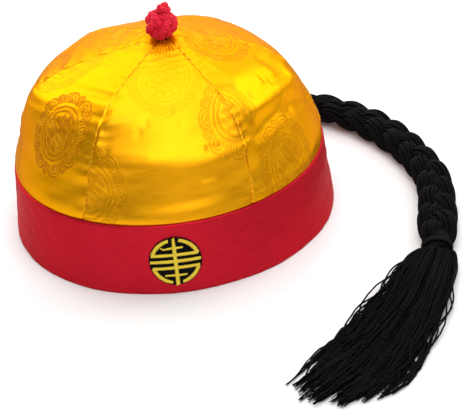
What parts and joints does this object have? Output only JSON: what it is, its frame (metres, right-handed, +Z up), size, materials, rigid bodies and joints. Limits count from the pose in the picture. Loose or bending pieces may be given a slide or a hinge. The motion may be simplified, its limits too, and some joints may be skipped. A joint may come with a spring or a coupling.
{
  "type": "costume hat",
  "caption": "Domed satin skull cap sewn from gores on a stiff flared band, with a round embroidered ornament, a knotted cord button on top and a yarn braid ending in a tassel.",
  "frame": {"origin": "on the surface that the cap stands on, at the middle of the band's lower edge", "axes": "+Z up through the button, -Y towards the front with the embroidered ornament, +X to the side on which the braid lies"},
  "size_m": [0.2523, 0.3331, 0.1331],
  "materials": {
    "yellow_satin": "glossy yellow satin with woven medallions",
    "red_satin": "plain red satin",
    "black_thread": "black embroidery thread",
    "yellow_thread": "yellow embroidery thread",
    "red_cord": "knotted red cord",
    "black_yarn": "black yarn"
  },
  "bodies": {
    "root": {"gore_front": "yellow_satin", "gore_front_right": "yellow_satin", "gore_back_right": "yellow_satin", "gore_back": "yellow_satin", "gore_back_left": "yellow_satin", "gore_front_left": "yellow_satin", "band": "red_satin", "roundel_ground": "black_thread", "roundel_thread": "yellow_thread", "knot_button": "red_cord", "braid_root": "black_yarn", "braid": "black_yarn", "braid_tie": "black_yarn", "tassel": "black_yarn"}
  },
  "joints": []
}
